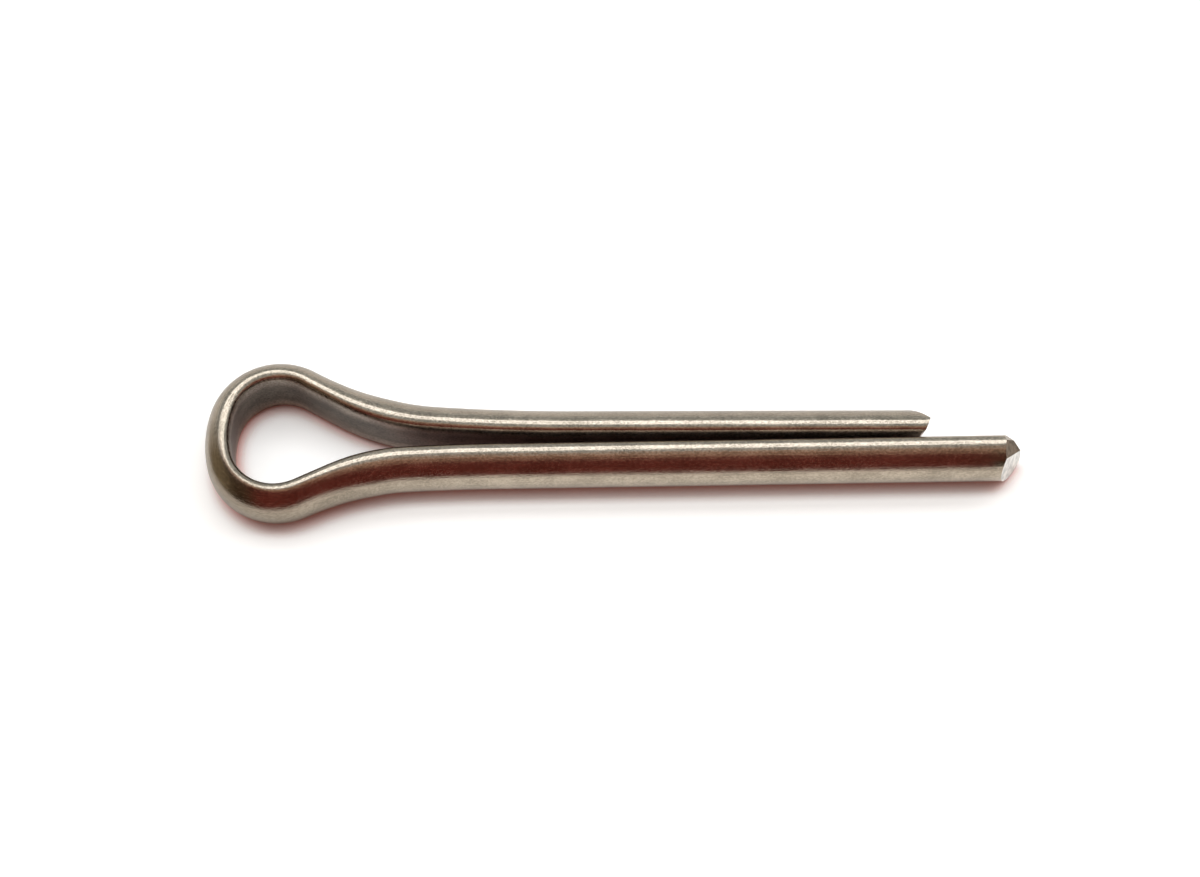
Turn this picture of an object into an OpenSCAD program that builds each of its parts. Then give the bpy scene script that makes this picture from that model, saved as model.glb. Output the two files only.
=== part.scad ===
// Cotter pin, extended prong: one length of half-round wire folded flat to flat into an eye and two legs.
// The pin lies on its side. X runs along the shank toward the tips, Y is across the two legs with the
// short leg on the +Y side, and Z stands square to the plane of the eye. The origin is on the axis of
// the shank, where the long leg runs straight.

/* [Shank] */
// Diameter of the round that the two legs make together at mid-length
shank_d = 3.72; // [3.4:0.02:4]
// Gap between the flats of the two legs at mid-length
leg_gap = 0.44; // [0.3:0.02:0.6]
// Lean of each leg toward the other, in degrees
leg_lean = 0.42; // [0:0.02:0.45]
// Length of the long leg, from the origin to its point
long_leg = 26.7; // [22:0.1:34]
// Length of the short leg, from the origin to the ridge of its point
short_leg = 21.4; // [16:0.1:24]
// Radius of the rounded corners between the flat and the round of the wire
corner_r = 0.38; // [0.25:0.01:0.4]

/* [Eye] */
// Clear width across the eye
eye_w = 5.64; // [5.2:0.02:6.4]
// Shift of the eye toward the side of the short leg
eye_shift = 0.5; // [0:0.02:0.6]
// Radius of the flat round the far end of the eye
end_r = 4.6; // [3.6:0.1:6]
// Half the angle that the end of the eye turns through, in degrees
end_angle = 14.6; // [8:0.1:20]
// Thickness of the wire round the eye, where the bend has stretched it thin
eye_wire_t = 1.37; // [1.25:0.01:1.5]

/* [Necks] */
// Slope at which the flank of the eye on the side of the short leg leaves the corner, in degrees
short_flank = 30.6; // [28:0.1:34]
// Slope at which the flank of the eye on the side of the long leg leaves the corner, in degrees
long_flank = 25.7; // [23:0.1:29]
// Angle that a flank turns back through before the neck's sharper bend, in degrees
flank_turn = 1.8; // [1:0.1:3]
// Radius of the slight curve of a flank
flank_r = 60; // [40:1:80]
// Slope at which the short leg's bend eases, in degrees
short_ease = 4.7; // [3:0.1:6]
// Slope at which the long leg's bend eases, in degrees
long_ease = 3; // [2:0.1:5]
// Radius of the slow curve that ends each neck
ease_r = 94; // [60:1:120]

/* [Ends] */
// Slant of the long leg's shear cut, seen from above, in degrees
long_cut = 34; // [20:1:45]
// Slant of the break on the upper corner of the long leg's cut, seen from the side, in degrees
long_break = 30; // [20:1:40]
// How far that break starts behind the point at mid-height
long_break_back = 0.3; // [0.1:0.05:0.8]
// Slant of the short leg's cut on the side of the flat, seen from above, in degrees
short_inner_cut = 20; // [10:1:30]
// Slant of the short leg's cut on the round side, seen from above, in degrees
short_outer_cut = 36; // [25:1:45]
// Lean of the cut on the side of the flat, seen from the side, in degrees
short_inner_tilt = 11; // [0:1:20]
// Lean of the cut on the round side, seen from the side, in degrees
short_outer_tilt = 19; // [0:1:25]
// Distance of the short leg's ridge from its flat at mid-height
short_ridge = 0.36; // [0.1:0.02:0.8]

/* [Hidden] */
$fn = 96;

// Section of the wire: s is the distance out from the flat, z the height from the middle of the wire
shank_r = shank_d / 2;
leg_t = shank_r - leg_gap / 2;
round_s = -leg_gap / 2;
corner_z = sqrt(pow(shank_r - corner_r, 2) - pow(corner_r - round_s, 2));
// How far a corner's circle stands past the flat and the round, so that each crosses it cleanly
corner_over = 0.004;

// Round that the outside of the wire keeps to in the eye: it just touches both corner rounds
bend_r = (pow(eye_wire_t - corner_r, 2) + pow(corner_z, 2) - pow(corner_r, 2))
    / (2 * (eye_wire_t - 2 * corner_r));
bend_s = eye_wire_t - bend_r;
// Where that round has moved out to at the end of a neck, just clear of the full section
full_clearance = 0.04;
full_s = leg_t + full_clearance - bend_r;
// How far the round reaches inside the flat, which it doesn't cut, and past both ends of a neck
bend_behind = 0.2;
bend_over = 3;

// Ball inside the wire where two lengths meet, so that they overlap, and its distance from the flat
ball_r = eye_wire_t / 4;
ball_s = eye_wire_t / 2;

cut_block = 4 * shank_d;
blank_over = shank_d;

// Unit vectors across and along a path that slopes toward the shank by an angle
function across(angle) = [sin(angle), cos(angle)];
function along(angle) = [cos(angle), -sin(angle)];

// Path of the flat, in plan. Each side is worked out on the +Y side, and the long one is mirrored.
turn_r = (eye_w / 2 - end_r * sin(end_angle)) / (1 - sin(end_angle));
turn_c = (end_r - turn_r) * [-cos(end_angle), sin(end_angle)];

// Height of a leg's flat above the axis of the shank
function flat_y(x) = leg_gap / 2 + (long_leg / 2 - x) * tan(leg_lean);

// Radius of each neck's bend, which brings the wire down to the line of its leg's flat, and the place of
// the eye, which brings the long leg to the origin. A side's rest is its path without the neck's bend.
function neck_way(flank, ease) = across(flank - flank_turn) - across(ease);
function rest_way(flank, ease) = turn_c + turn_r * across(flank)
    + flank_r * (across(flank) - across(flank - flank_turn)) + ease_r * (across(ease) - across(leg_lean));
long_way = neck_way(long_flank, long_ease);
long_rest = rest_way(long_flank, long_ease) - [0, eye_shift];
long_neck_r = (flat_y(0) - long_rest.y) / long_way.y;
eye_x = -(long_rest + long_neck_r * long_way).x;
short_way = neck_way(short_flank, short_ease);
short_rest = rest_way(short_flank, short_ease) + [eye_x, eye_shift];
short_neck_r = (flat_y(short_rest.x) - short_rest.y) / (short_way.y + short_way.x * tan(leg_lean));

// Move in two steps, a rounded one and the small rest, so that the lengths of wire meet exactly
module place(point) {
    near = [for (v = point) round(1000 * v) / 1000];
    translate(near)
        translate(point - near)
            children();
}

// Lean in two steps, one with a cosine of six figures and the small rest
module lean(angle) {
    near = acos(round(1000000 * cos(angle)) / 1000000);
    rotate(-near)
        rotate(near - angle)
            children();
}

// Section of the wire at full thickness
module wire_section() {
    ray = [round_s, 0] + 2 * [corner_r - round_s, corner_z];
    intersection() {
        translate([round_s, 0])
            circle(shank_r);
        translate([0, -shank_d])
            square(2 * shank_d);
        union() {
            polygon([[-shank_d, -corner_z], [corner_r, -corner_z], [ray.x, -ray.y], [shank_d, -ray.y],
                     [shank_d, ray.y], ray, [corner_r, corner_z], [-shank_d, corner_z]]);
            for (side = [-1, 1])
                translate([corner_r, side * corner_z])
                    circle(corner_r + corner_over);
        }
    }
}

// Round that trims the outside of a bend, centred at a distance from the flat and open behind the flat
module bend_round(s) {
    intersection() {
        place([s, 0])
            circle(bend_r);
        translate([-bend_behind, -shank_d])
            square(2 * shank_d);
    }
}

// Section of the wire in the eye
module thin_section() {
    intersection() {
        wire_section();
        bend_round(bend_s);
    }
}

// Sweep of a section round a bend whose centre is inside the eye, between two directions from it
module turn(centre, r, from, to) {
    place(centre)
        rotate_extrude(angle = to - from, start = from)
            place([r, 0])
                children();
}

// Sweep of a section round a bend whose centre is outside the wire, from one slope to another
module back_turn(centre, r, from, to) {
    place(centre)
        rotate_extrude(angle = from - to, start = 270 - from)
            place([r, 0])
                mirror([1, 0])
                    children();
}

// Straight run of a section from a point, leaning toward the shank
module run(point, length) {
    place(point)
        lean(leg_lean)
            rotate([90, 0, 90])
                linear_extrude(length)
                    children();
}

// Ball where two lengths meet, out from a point of the flat in a direction square to it
module ball(point, out) {
    place(point + ball_s * out)
        sphere(ball_r);
}

// One side of the wire, from the end round of the eye to the leg, whose end is cut by the children
module side(flank, neck_r, ease, shift, length) {
    bend = flank - flank_turn;
    corner_c = [eye_x, shift] + turn_c;
    flank_p = corner_c + turn_r * across(flank);
    flank_c = flank_p + flank_r * across(flank);
    neck_p = flank_c - flank_r * across(bend);
    neck_c = neck_p + neck_r * across(bend);
    ease_p = neck_c - neck_r * across(ease);
    ease_c = ease_p + ease_r * across(ease);
    leg_p = ease_c - ease_r * across(leg_lean);

    // The trimming round leaves the eye along the flank and is clear of the full section at the neck's end
    round_p = flank_p + bend_s * across(flank);
    reach = ease_p + full_s * across(ease) - round_p;
    round_r = reach * reach / (2 * reach * across(flank));
    round_c = round_p + round_r * across(flank);
    round_turn = asin(reach * along(flank) / round_r);

    turn(corner_c, turn_r, 90 - flank, 180 - end_angle)
        thin_section();
    intersection() {
        union() {
            back_turn(flank_c, flank_r, flank, bend)
                wire_section();
            back_turn(neck_c, neck_r, bend, ease)
                wire_section();
        }
        back_turn(round_c, round_r, flank + bend_over, flank - round_turn - bend_over)
            bend_round(0);
    }
    back_turn(ease_c, ease_r, ease, leg_lean)
        wire_section();
    difference() {
        run(leg_p, length + blank_over - leg_p.x)
            wire_section();
        children();
    }

    corner_out = [-cos(end_angle), sin(end_angle)];
    ball(corner_c + turn_r * corner_out, corner_out);
    ball(flank_p, across(flank));
    ball(neck_p, across(bend));
    ball(ease_p, across(ease));
    ball(leg_p, across(leg_lean));
}

// Block that cuts an end off: its face passes through a point, turned in plan and leaned in side view
module cut(x, s, plan, lean) {
    translate([x, flat_y(x) + s, 0])
        rotate([0, lean, plan])
            translate([0, -cut_block / 2, -cut_block / 2])
                cube(cut_block);
}

module cotter_pin() {
    color([0.6, 0.58, 0.55]) {
        turn([eye_x, eye_shift], end_r, 180 - end_angle, 180 + end_angle)
            thin_section();
        side(short_flank, short_neck_r, short_ease, eye_shift, short_leg) {
            cut(short_leg, short_ridge, -short_inner_cut, short_inner_tilt);
            cut(short_leg, short_ridge, short_outer_cut, short_outer_tilt);
        }
        mirror([0, 1])
            side(long_flank, long_neck_r, long_ease, -eye_shift, long_leg) {
                cut(long_leg, 0, long_cut, 0);
                cut(long_leg - long_break_back, 0, 0, -long_break);
            }
    }
}

cotter_pin();
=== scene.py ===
"""Dresses the cotter pin: one piece of half-round steel wire, bent into an eye and two legs.

Lengths are in millimetres and angles in degrees until a finished mesh is brought to metres.
"""

import math

import bmesh
import bpy
from mathutils import Matrix, Vector


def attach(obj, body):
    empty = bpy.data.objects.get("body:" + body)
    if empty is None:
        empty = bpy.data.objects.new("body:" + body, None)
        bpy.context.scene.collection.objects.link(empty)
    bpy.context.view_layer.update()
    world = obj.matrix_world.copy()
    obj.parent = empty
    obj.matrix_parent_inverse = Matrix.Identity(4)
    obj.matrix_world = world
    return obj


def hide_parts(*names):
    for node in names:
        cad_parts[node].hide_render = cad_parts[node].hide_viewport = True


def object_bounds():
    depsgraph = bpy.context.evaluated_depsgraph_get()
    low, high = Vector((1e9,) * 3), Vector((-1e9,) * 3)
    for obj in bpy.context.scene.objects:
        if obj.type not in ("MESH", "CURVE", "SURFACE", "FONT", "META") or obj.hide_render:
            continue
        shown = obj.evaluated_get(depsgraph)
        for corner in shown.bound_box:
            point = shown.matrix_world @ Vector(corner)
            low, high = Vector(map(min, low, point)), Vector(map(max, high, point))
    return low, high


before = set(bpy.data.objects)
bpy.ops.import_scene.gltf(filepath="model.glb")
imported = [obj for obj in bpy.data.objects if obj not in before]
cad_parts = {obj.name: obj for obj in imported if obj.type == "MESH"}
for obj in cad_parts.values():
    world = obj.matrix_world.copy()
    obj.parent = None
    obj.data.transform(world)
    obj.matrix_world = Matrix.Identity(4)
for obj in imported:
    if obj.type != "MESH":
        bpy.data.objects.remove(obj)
cad_low, cad_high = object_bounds()

MM = 0.001
UP = Vector((0, 0, 1))
SHORT, LONG = 1, -1  # the side of the pin that each leg is on, as the sign of its Y

# Section of the wire: flat inside, round outside, with rounded corners between. ROUND_S is how
# far out from the flat the round has its centre, and CORNER_Z how high a corner has its own.
SHANK_R = 1.86
LEG_T = 1.70
CORNER_R = 0.48
ROUND_S = LEG_T - SHANK_R
CORNER_Z = math.sqrt((SHANK_R - CORNER_R) ** 2 - (CORNER_R - ROUND_S) ** 2)
CORNER_STEPS = 10
ROUND_STEPS = 30
FLAT_CUTS = 9

# The eye. Its wire is stretched thin, and thickens again over this length of each side, while
# the line this far out from the flat stays where it is.
EYE_T = 1.368
EYE_SHIFT = 0.5
THICKENS_OVER = {SHORT: 5.0, LONG: 4.2}
THICKEN_ABOUT = 0.25

# Each side from the middle of the eye's end: the radius of a bend, and how far the wire leans in
# toward the middle of the pin where that bend ends. It thickens once the eye's bends are made.
END_BEND = (4.6, -75.4)
CORNER_BEND_R = 2.22
SHORT_BENDS = [END_BEND, (CORNER_BEND_R, 30.6), (60, 28.8), (12.266, 4.7), (94, 0.42)]
LONG_BENDS = [END_BEND, (CORNER_BEND_R, 25.7), (60, 23.9), (10.259, 3), (94, 0.42)]
EYE_BENDS = 2

# Longest slice of a bend, the most that a slice turns, and the length of a slice of a leg
SLICE = 0.3
SLICE_TURN = 3
LEG_SLICE = 0.75

# Legs. They are drawn past their tips and cut back.
SHORT_LEG = 21.4
LONG_LEG = 26.7
PAST_TIP = 2
HALF_GAP = 0.16
LEAN = 0.42
RIM_BEVEL = 0.03
CUT_MERGE = 1e-5

# Planes that cut the legs: the side, the place along the leg at the flat's middle height, how
# far along the leg the plane moves for each millimetre out and for each millimetre up, and the
# finish of the face that it leaves
DRAWN, SHEARED, TORN = 0, 1, 2
LEG_CUTS = [
    (SHORT, 21.27, 0.37, 0.21, SHEARED),
    (SHORT, 21.17, 1.5, 0.21, SHEARED),
    (SHORT, 21.66, -0.72, 0.42, TORN),
    (LONG, 26.50, -0.65, -0.13, SHEARED),
    (LONG, 26.37, -0.25, -0.43, TORN),
    (LONG, 26.62, 0.6, -0.79, DRAWN),
]

# Darker and lighter tone of each steel surface. The flat's tones are a painted shade, darker
# than the round's, and the flat turns lighter again toward its lips
ROUND_TONES = (0.26, 0.222, 0.17), (0.46, 0.393, 0.31)
FLAT_PAINTED_SHADE_TONES = (0.08, 0.067, 0.056), (0.22, 0.188, 0.158)
LIP_TONES = (0.20, 0.165, 0.137), (0.50, 0.43, 0.365)
SHEARED_TONES = (0.50, 0.50, 0.48), (0.82, 0.80, 0.76)
TORN_TONES = (0.10, 0.07, 0.045), (0.26, 0.195, 0.13)

# White table: its size in metres, how near the pin it takes a painted shadow, its painted-shadow
# and open tones, and how much of white it shows besides what the lamps give it
TABLE_SIZE = 2.0
SHADE_REACH = 1.0
PAINTED_SHADE_AND_PAPER_TONES = (0.78, 0.28, 0.21), (0.93, 0.935, 0.89)
TABLE_LIFT = 0.33

# Painted reflection: a card that glows these colours, lit by no lamp, and shows only in the
# steel's reflections. It is a barrel of this radius about the axis of the shank, whose ends turn
# round the middle of the eye and round a place past the long leg's tip. Its top and foot are
# counted from straight up.
EYE_X = -8.2
CARD_END = 29.0
CARD_R = 11.0
CARD_TOP = 24
CARD_FOOT = 99
CARD_WRAP = 150
CARD_STEPS_DOWN = 24
CARD_STEPS_ROUND = 40
CARD_RED = (0.21, 0.045, 0.035)
CARD_BROWN = (0.09, 0.055, 0.032)
CARD_OLIVE = (0.30, 0.24, 0.16)
CARD_UMBER = (0.07, 0.05, 0.03)
CARD_TOP_TAN = (0.66, 0.43, 0.32)
CARD_TOP_OLIVE = (0.55, 0.48, 0.36)

# Camera: what it is aimed at, and where it stands from there
AIM = Vector((5.51, 0.60, 0))
ELEVATION = 64.2
AZIMUTH = -0.59
DISTANCE = 125


class Signal:
    """A number or a colour on its way through a finish. Sums on it add Math nodes."""

    def __init__(self, finish, socket):
        self.finish = finish
        self.socket = socket

    def __add__(self, other):
        return self.finish.maths("ADD", self, other)

    def __radd__(self, other):
        return self.finish.maths("ADD", other, self)

    def __sub__(self, other):
        return self.finish.maths("SUBTRACT", self, other)

    def __rsub__(self, other):
        return self.finish.maths("SUBTRACT", other, self)

    def __mul__(self, other):
        return self.finish.maths("MULTIPLY", self, other)

    def __rmul__(self, other):
        return self.finish.maths("MULTIPLY", other, self)

    def __truediv__(self, other):
        return self.finish.maths("DIVIDE", self, other)


class Finish:
    """The nodes of one material, or of the world."""

    MIX_FACTOR, MIX_FIRST, MIX_SECOND, MIX_COLOUR = 0, 6, 7, 2

    def __init__(self, tree):
        self.tree = tree
        tree.nodes.clear()

    def node(self, kind, settings=None, inputs=None, output=0):
        """Adds a node: first its settings, then a value or a link for each socket named."""
        made = self.tree.nodes.new("ShaderNode" + kind)
        for name, value in (settings or {}).items():
            setattr(made, name, value)
        for name, value in (inputs or {}).items():
            socket = made.inputs[name]
            if isinstance(value, Signal):
                self.tree.links.new(value.socket, socket)
            elif socket.type == "RGBA":
                socket.default_value = (*value, 1)
            else:
                socket.default_value = value
        return Signal(self, made.outputs[output])

    def maths(self, operation, first, second):
        return self.node("Math", {"operation": operation}, {0: first, 1: second})

    def smooth(self, value, low, high):
        """0 below low, 1 above high, and smooth between."""
        return self.node("MapRange", {"interpolation_type": "SMOOTHSTEP"},
                         {"Value": value, "From Min": low, "From Max": high})

    def mix(self, factor, first, second):
        return self.node("Mix", {"data_type": "RGBA"}, {
            self.MIX_FACTOR: factor, self.MIX_FIRST: first, self.MIX_SECOND: second},
            self.MIX_COLOUR)

    def grain(self, place, fineness, detail, roughness=0.5):
        """Noise that has its own fineness along each axis."""
        scaled = self.node("VectorMath", {"operation": "MULTIPLY"}, {0: place, 1: fineness})
        return self.node("TexNoise", {}, {"Vector": scaled, "Scale": 1.0, "Detail": detail,
                                          "Roughness": roughness})

    def along(self, vector, axis):
        return self.node("SeparateXYZ", {}, {0: vector}, axis)

    def place(self):
        return self.node("TexCoord", output="Object")

    def ray_is(self, kind):
        return self.node("LightPath", output="Is %s Ray" % kind)

    def surface(self, shader, kind="OutputMaterial"):
        end = self.tree.nodes.new("ShaderNode" + kind)
        self.tree.links.new(shader.socket, end.inputs["Surface"])


def finish_for(name):
    material = bpy.data.materials.new(name)
    material.use_nodes = True
    return material, Finish(material.node_tree)


def object_of(bm, name):
    """Ends a bmesh as an object at the origin."""
    mesh = bpy.data.meshes.new(name)
    bm.to_mesh(mesh)
    bm.free()
    made = bpy.data.objects.new(name, mesh)
    bpy.context.scene.collection.objects.link(made)
    return made


# ---------------------------------------------------------------- the wire


def verts_of(geom):
    return [part for part in geom if isinstance(part, bmesh.types.BMVert)]


def edges_of(geom):
    return [part for part in geom if isinstance(part, bmesh.types.BMEdge)]


def turned_on(bm, row, centre, axis, angle, steps):
    """Turns a row of corners or edges on about a centre, and gives the last row."""
    made = bmesh.ops.spin(bm, geom=row, cent=centre, axis=axis, dvec=(0, 0, 0),
                          angle=math.radians(angle), space=Matrix(), steps=steps,
                          use_merge=False, use_normal_flip=False, use_duplicate=False)
    return made["geom_last"]


def drawn_on(bm, row, way):
    """Draws a row of edges straight on, and gives the last row."""
    made = bmesh.ops.extrude_edge_only(bm, edges=row)["geom"]
    corners = verts_of(made)
    bmesh.ops.translate(bm, vec=way, verts=corners)
    return corners + [edge for edge in edges_of(made)
                      if edge.verts[0] in corners and edge.verts[1] in corners]


def section_ring(bm, flat_x, y):
    """Outline of the wire across the middle of the eye's end, with the flat towards +X."""
    corner_turn = math.degrees(math.atan2(CORNER_Z, CORNER_R - ROUND_S))
    arcs = [(CORNER_R, -CORNER_Z, 180 - corner_turn, CORNER_STEPS),
            (ROUND_S, 0, 2 * corner_turn, ROUND_STEPS),
            (CORNER_R, CORNER_Z, 180 - corner_turn, CORNER_STEPS)]
    first = bm.verts.new((flat_x, y, -CORNER_Z))
    row = [first]
    for out, height, angle, steps in arcs:
        row = verts_of(turned_on(bm, row, (flat_x - out, y, height), (0, 1, 0), angle, steps))
    flat = bmesh.ops.contextual_create(bm, geom=[row[0], first])["edges"]
    bmesh.ops.subdivide_edges(bm, edges=flat, cuts=FLAT_CUTS, use_grid_fill=False)
    return bm.edges[:]


class Side:
    """One side of the pin, drawn from the middle of the eye's end to past the tip of its leg.

    The point follows the flat at its middle height, and the heading is counted from +X toward
    this side. Each corner keeps its length along the wire in the layer named wire.
    """

    def __init__(self, bm, wire, hand, ring, point):
        self.bm = bm
        self.wire = wire
        self.hand = hand
        self.ring = ring
        self.point = point
        self.heading = 90.0
        self.length = 0.0
        self.thick = 1.0
        self.thickens_from = None

    def on(self):
        heading = math.radians(self.heading)
        return Vector((math.cos(heading), self.hand * math.sin(heading), 0))

    def out(self):
        heading = math.radians(self.heading)
        return Vector((-math.sin(heading), self.hand * math.cos(heading), 0))

    def thickness(self):
        """Thickness of the wire here, over its thickness in the eye."""
        way = (self.length - self.thickens_from) / THICKENS_OVER[self.hand]
        way = min(1, max(0, way))
        return 1 + (LEG_T / EYE_T - 1) * way * way * (3 - 2 * way)

    def settle(self, row, step):
        """Marks a new row with its length, and gives it its thickness."""
        self.length += step
        corners = verts_of(row)
        for corner in corners:
            corner[self.wire].x = self.hand * self.length
        if self.thickens_from is not None:
            thick = self.thickness()
            kept = self.point + THICKEN_ABOUT * self.out()
            bmesh.ops.transform(self.bm, matrix=Matrix.Scale(thick / self.thick, 4, self.out()),
                                space=Matrix.Translation(-kept), verts=corners)
            self.thick = thick
        self.ring = edges_of(row)

    def bend(self, radius, lean):
        turn = -lean - self.heading
        way_out = radius if turn > 0 else -radius
        centre = self.point + self.out() * way_out
        distance = radius * abs(math.radians(turn))
        steps = max(math.ceil(distance / SLICE), math.ceil(abs(turn) / SLICE_TURN))
        for _ in range(steps):
            row = turned_on(self.bm, self.ring, centre, UP, self.hand * turn / steps, 1)
            self.heading += turn / steps
            self.point = centre - self.out() * way_out
            self.settle(row, distance / steps)

    def draw(self, bends, leg_end):
        for count, (radius, lean) in enumerate(bends):
            if count == EYE_BENDS:
                self.thickens_from = self.length
            self.bend(radius, lean)
        while self.point.x < leg_end:
            row = drawn_on(self.bm, self.ring, self.on() * LEG_SLICE)
            self.point = self.point + self.on() * LEG_SLICE
            self.settle(row, LEG_SLICE)


def cut_leg(bm, side, x, by_out, by_height, finish):
    """Cuts one leg off along one plane of LEG_CUTS, and closes it."""
    square = Vector((1, -side * by_out, -by_height)).normalized()
    flat_y = HALF_GAP + (LONG_LEG / 2 - x) * math.tan(math.radians(LEAN))
    leg = [face for face in bm.faces
           if all(corner.co.x > x / 2 and corner.co.y * side > 0 for corner in face.verts)]
    edges = dict.fromkeys(edge for face in leg for edge in face.edges)
    corners = dict.fromkeys(corner for face in leg for corner in face.verts)
    made = bmesh.ops.bisect_plane(bm, geom=[*leg, *edges, *corners], dist=CUT_MERGE,
                                  plane_co=(x, side * flat_y, 0), plane_no=square,
                                  clear_outer=True)
    closed = bmesh.ops.contextual_create(bm, geom=edges_of(made["geom_cut"]))
    for face in closed["faces"]:
        face.material_index = finish


def cotter_wire():
    """The whole wire. Its corners keep, in the layer named wire, where they lie in it: along it,
    out from the flat, and up."""
    bm = bmesh.new()
    wire = bm.verts.layers.float_vector.new("wire")
    flat_x = cad_low.x / MM + EYE_T
    ring = section_ring(bm, flat_x, EYE_SHIFT)
    for corner in bm.verts:
        out = flat_x - corner.co.x
        corner[wire] = (0, out, corner.co.z)
        corner.co.x = flat_x - out * EYE_T / LEG_T
    middle = Vector((flat_x, EYE_SHIFT, 0))
    Side(bm, wire, SHORT, ring, middle).draw(SHORT_BENDS, SHORT_LEG + PAST_TIP)
    Side(bm, wire, LONG, ring, middle).draw(LONG_BENDS, LONG_LEG + PAST_TIP)
    for plane in LEG_CUTS:
        cut_leg(bm, *plane)
    # The cut faces have more than four corners, and so have a few slices that a cut trims
    ends = {face for face in bm.faces if len(face.verts) > 4}
    bmesh.ops.recalc_face_normals(bm, faces=bm.faces[:])
    for face in bm.faces:
        face.smooth = face not in ends
    rims = [edge for edge in bm.edges if len(edge.link_faces) == 2
            and any(face in ends for face in edge.link_faces)]
    bmesh.ops.bevel(bm, geom=rims, offset=RIM_BEVEL, offset_type="OFFSET", segments=2,
                    profile=0.5, affect="EDGES", material=-1, clamp_overlap=True)
    bmesh.ops.scale(bm, vec=(MM, MM, MM), verts=bm.verts)
    return object_of(bm, "half_round_wire")


# ---------------------------------------------------------------- finishes


def drawn_steel():
    """Drawn wire, streaked along its length. The flat is rougher, and its colour is painted
    darker as shade, lighter toward its lips.
    """
    material, f = finish_for("drawn_steel")
    wire = f.node("Attribute", {"attribute_name": "wire"}, output=1)
    streaks = f.grain(wire, (0.25, 9, 9), 4)
    clouds = f.grain(wire, (0.8, 1.2, 1.2), 3)
    specks = f.grain(wire, (7, 9, 9), 3, 0.7)
    tone = f.smooth(clouds * 0.3 + streaks * 0.15 + specks * 0.55, 0.36, 0.64)
    height = f.along(wire, "Z")
    on_round = f.smooth(f.along(wire, "Y"), 0.0, 0.12)
    on_lip = f.smooth(height * height, 0.2, 1.3)
    # Painted shade: the flat's colour is darker than the round's in its middle, lighter again
    # toward its lips
    flat = f.mix(on_lip, f.mix(tone, *FLAT_PAINTED_SHADE_TONES), f.mix(tone, *LIP_TONES))
    colour = f.mix(on_round, flat, f.mix(tone, *ROUND_TONES))
    roughness = 0.10 + 0.18 * specks + 0.06 * clouds + 0.16 * (1 - on_round)
    bump = f.node("Bump", {}, {"Strength": 0.35, "Distance": 0.04 * MM,
                               "Height": streaks * 0.4 + specks * 0.6})
    f.surface(f.node("BsdfPrincipled", {}, {
        "Base Color": colour, "Metallic": 1.0, "Roughness": roughness, "Normal": bump}))
    return material


def cut_steel(name, tones, dullness):
    """A face that a cut left, with upright drag lines and pits, their fineness per metre."""
    material, f = finish_for(name)
    place = f.place()
    lines = f.grain(place, (9000, 9000, 900), 3)
    pits = f.grain(place, (2500, 2500, 2500), 4, 0.6)
    relief = lines * 0.4 + pits * 0.6
    bump = f.node("Bump", {}, {"Strength": 0.35, "Distance": 0.06 * MM, "Height": relief})
    f.surface(f.node("BsdfPrincipled", {}, {
        "Base Color": f.mix(f.smooth(relief, 0.38, 0.60), *tones), "Metallic": 1.0,
        "Roughness": dullness + 0.25 * lines, "Normal": bump}))
    return material


piece = cotter_wire()
piece.data.materials.append(drawn_steel())
piece.data.materials.append(cut_steel("sheared_steel", SHEARED_TONES, 0.3))
piece.data.materials.append(cut_steel("torn_steel", TORN_TONES, 0.5))
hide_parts("cotter_pin")
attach(piece, "root")


# ---------------------------------------------------------------- studio


def table_top():
    """A white table whose colour is painted with a warm shade, a painted shadow, where the pin
    stands close to it.
    """
    bm = bmesh.new()
    bmesh.ops.create_grid(bm, x_segments=1, y_segments=1, size=TABLE_SIZE)
    bmesh.ops.translate(bm, vec=(0, 0, cad_low.z), verts=bm.verts)
    floor = object_of(bm, "table_top")
    material, f = finish_for("white_table")
    # Painted shadow: near the pin the table's colour turns to the dark red shaded tone, and its
    # white glow fades out there too
    openness = f.node("AmbientOcclusion", {"samples": 8}, {"Distance": SHADE_REACH * MM}, "AO")
    clear = f.smooth(openness, 0.25, 0.95)
    paper = f.node("BsdfPrincipled", {}, {"Base Color": f.mix(clear, *PAINTED_SHADE_AND_PAPER_TONES),
                                          "Roughness": 0.9, "Specular IOR Level": 0.1})
    place = f.place()
    x = f.along(place, "X") / MM
    y = f.along(place, "Y") / MM
    # The white glow shows to the camera everywhere but in the steel's reflections only in front
    # of the pin: a painted reflection, lighter in front than behind
    in_front = (1 - f.smooth(y, 0, 4)) * f.smooth(x, EYE_X - 2, EYE_X + 8)
    seen = f.ray_is("Camera") + f.ray_is("Glossy") * in_front
    dark = f.node("Emission", {}, {"Color": (0, 0, 0), "Strength": 0.0})
    glow = f.node("Emission", {}, {"Color": (1, 1, 1), "Strength": TABLE_LIFT})
    lift = f.node("MixShader", {}, {0: seen * clear, 1: dark, 2: glow})
    f.surface(f.node("AddShader", {}, {0: paper, 1: lift}))
    floor.data.materials.append(material)


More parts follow.
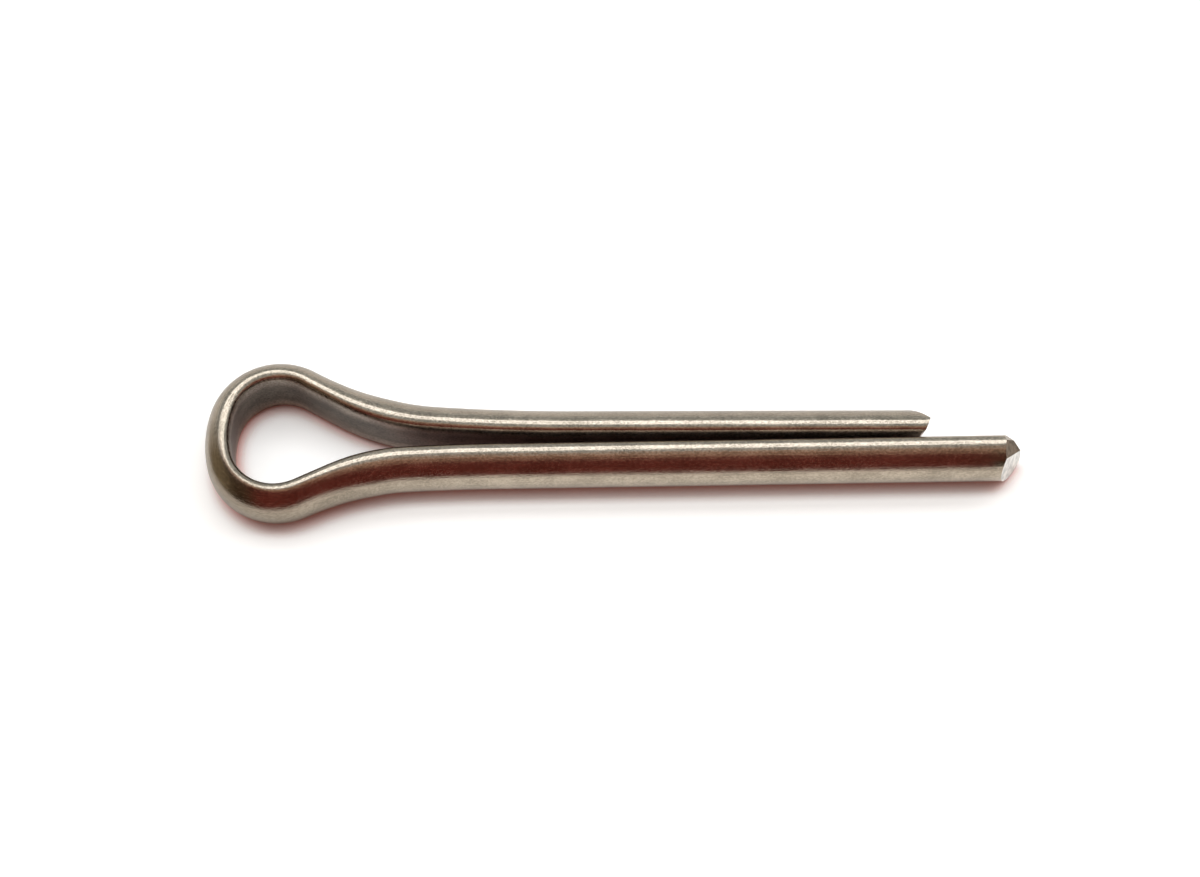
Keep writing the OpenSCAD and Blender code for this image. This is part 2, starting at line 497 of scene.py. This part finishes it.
def painted_reflection_card():
    """A card bent round the front and both ends of the pin, for the steel alone to mirror: a
    painted reflection that glows its own colours.
    """
    bm = bmesh.new()
    eye = Vector((EYE_X, 0, 0)) * MM
    past_tip = Vector((CARD_END, 0, 0)) * MM
    top = math.radians(CARD_TOP)
    corner = bm.verts.new(eye + CARD_R * MM * Vector((0, -math.sin(top), math.cos(top))))
    turned_on(bm, [corner], eye, (1, 0, 0), CARD_FOOT - CARD_TOP, CARD_STEPS_DOWN)
    front = bm.edges[:]
    turned_on(bm, front, eye, UP, -CARD_WRAP, CARD_STEPS_ROUND)
    front = edges_of(drawn_on(bm, front, past_tip - eye))
    turned_on(bm, front, past_tip, UP, CARD_WRAP, CARD_STEPS_ROUND)
    card = object_of(bm, "painted_reflection_card")

    material, f = finish_for("painted_reflection_card")
    place = f.place()
    x = f.along(place, "X") / MM
    y = f.along(place, "Y") / MM
    z = f.along(place, "Z") / MM
    past_eye = (EYE_X - x) / CARD_R
    at_left = f.smooth(past_eye, 0.8, 0.98)
    at_right = f.smooth(x, CARD_END - 3.5, CARD_END - 1)
    low = f.mix(f.smooth(past_eye, 0.45, 0.75), CARD_RED, CARD_BROWN)
    low = f.mix(at_right, f.mix(at_left, low, CARD_OLIVE), CARD_UMBER)
    high = f.mix(at_left, CARD_TOP_TAN, CARD_TOP_OLIVE)
    colour = f.mix(f.smooth(z, 0.58 * CARD_R, 0.82 * CARD_R), low, high)
    shown = (1 - f.smooth(z, 0.82 * CARD_R, 0.91 * CARD_R)) * (1 - f.smooth(y, 0, 0.5 * CARD_R))
    clear = f.node("BsdfTransparent")
    # Painted reflection: the card glows these colours at a set strength, lit by no lamp
    paint = f.node("Emission", {}, {"Color": colour, "Strength": 1.0})
    f.surface(f.node("MixShader", {}, {0: shown, 1: clear, 2: paint}))
    card.data.materials.append(material)
    card.visible_camera = False
    card.visible_diffuse = False
    card.visible_shadow = False
    card.visible_transmission = False


def surroundings():
    """White to the camera, pale in the steel's reflections, and a warm fill otherwise."""
    world = bpy.data.worlds.new("studio")
    bpy.context.scene.world = world
    world.use_nodes = True
    f = Finish(world.node_tree)
    white, pale, fill = (f.node("Background", {}, {"Color": colour, "Strength": 1.0})
                         for colour in ((1, 1, 1), (0.62, 0.66, 0.69), (0.30, 0.24, 0.205)))
    mirrored = f.node("MixShader", {}, {0: f.ray_is("Glossy"), 1: fill, 2: pale})
    f.surface(f.node("MixShader", {}, {0: f.ray_is("Camera"), 1: mirrored, 2: white}),
              "OutputWorld")


def soft_box(name, place, length, width, power, colour):
    """A lamp that lies along the pin and faces its axis. Its sizes and place are in metres."""
    lamp = bpy.data.lights.new(name, "AREA")
    lamp.shape = "RECTANGLE"
    lamp.size = length
    lamp.size_y = width
    lamp.energy = power
    lamp.color = colour
    box = bpy.data.objects.new(name, lamp)
    bpy.context.scene.collection.objects.link(box)
    box.location = place
    to_axis = Vector((0, -box.location.y, -box.location.z))
    box.rotation_euler = to_axis.to_track_quat("-Z", "Y").to_euler()
    box.visible_camera = False


def camera():
    data = bpy.data.cameras.new("camera")
    data.lens = 75
    data.sensor_width = 36
    data.clip_start = 0.005
    data.clip_end = 10
    cam = bpy.data.objects.new("camera", data)
    bpy.context.scene.collection.objects.link(cam)
    elevation, azimuth = math.radians(ELEVATION), math.radians(AZIMUTH)
    back = Vector((math.cos(elevation) * math.sin(azimuth),
                   -math.cos(elevation) * math.cos(azimuth), math.sin(elevation)))
    cam.location = AIM * MM + back * DISTANCE * MM
    cam.rotation_euler = (-back).to_track_quat("-Z", "Y").to_euler()
    bpy.context.scene.camera = cam


table_top()
painted_reflection_card()
surroundings()
soft_box("overhead_box", place=(0.15, 0.03, 0.45), length=1.2, width=0.12, power=1.38,
         colour=(0.91, 0.93, 1.0))
soft_box("back_box", place=(0.12, 0.185, 0.37), length=1.3, width=0.15, power=1.75,
         colour=(0.91, 0.94, 1.0))
camera()
bpy.context.scene.view_settings.view_transform = "Standard"
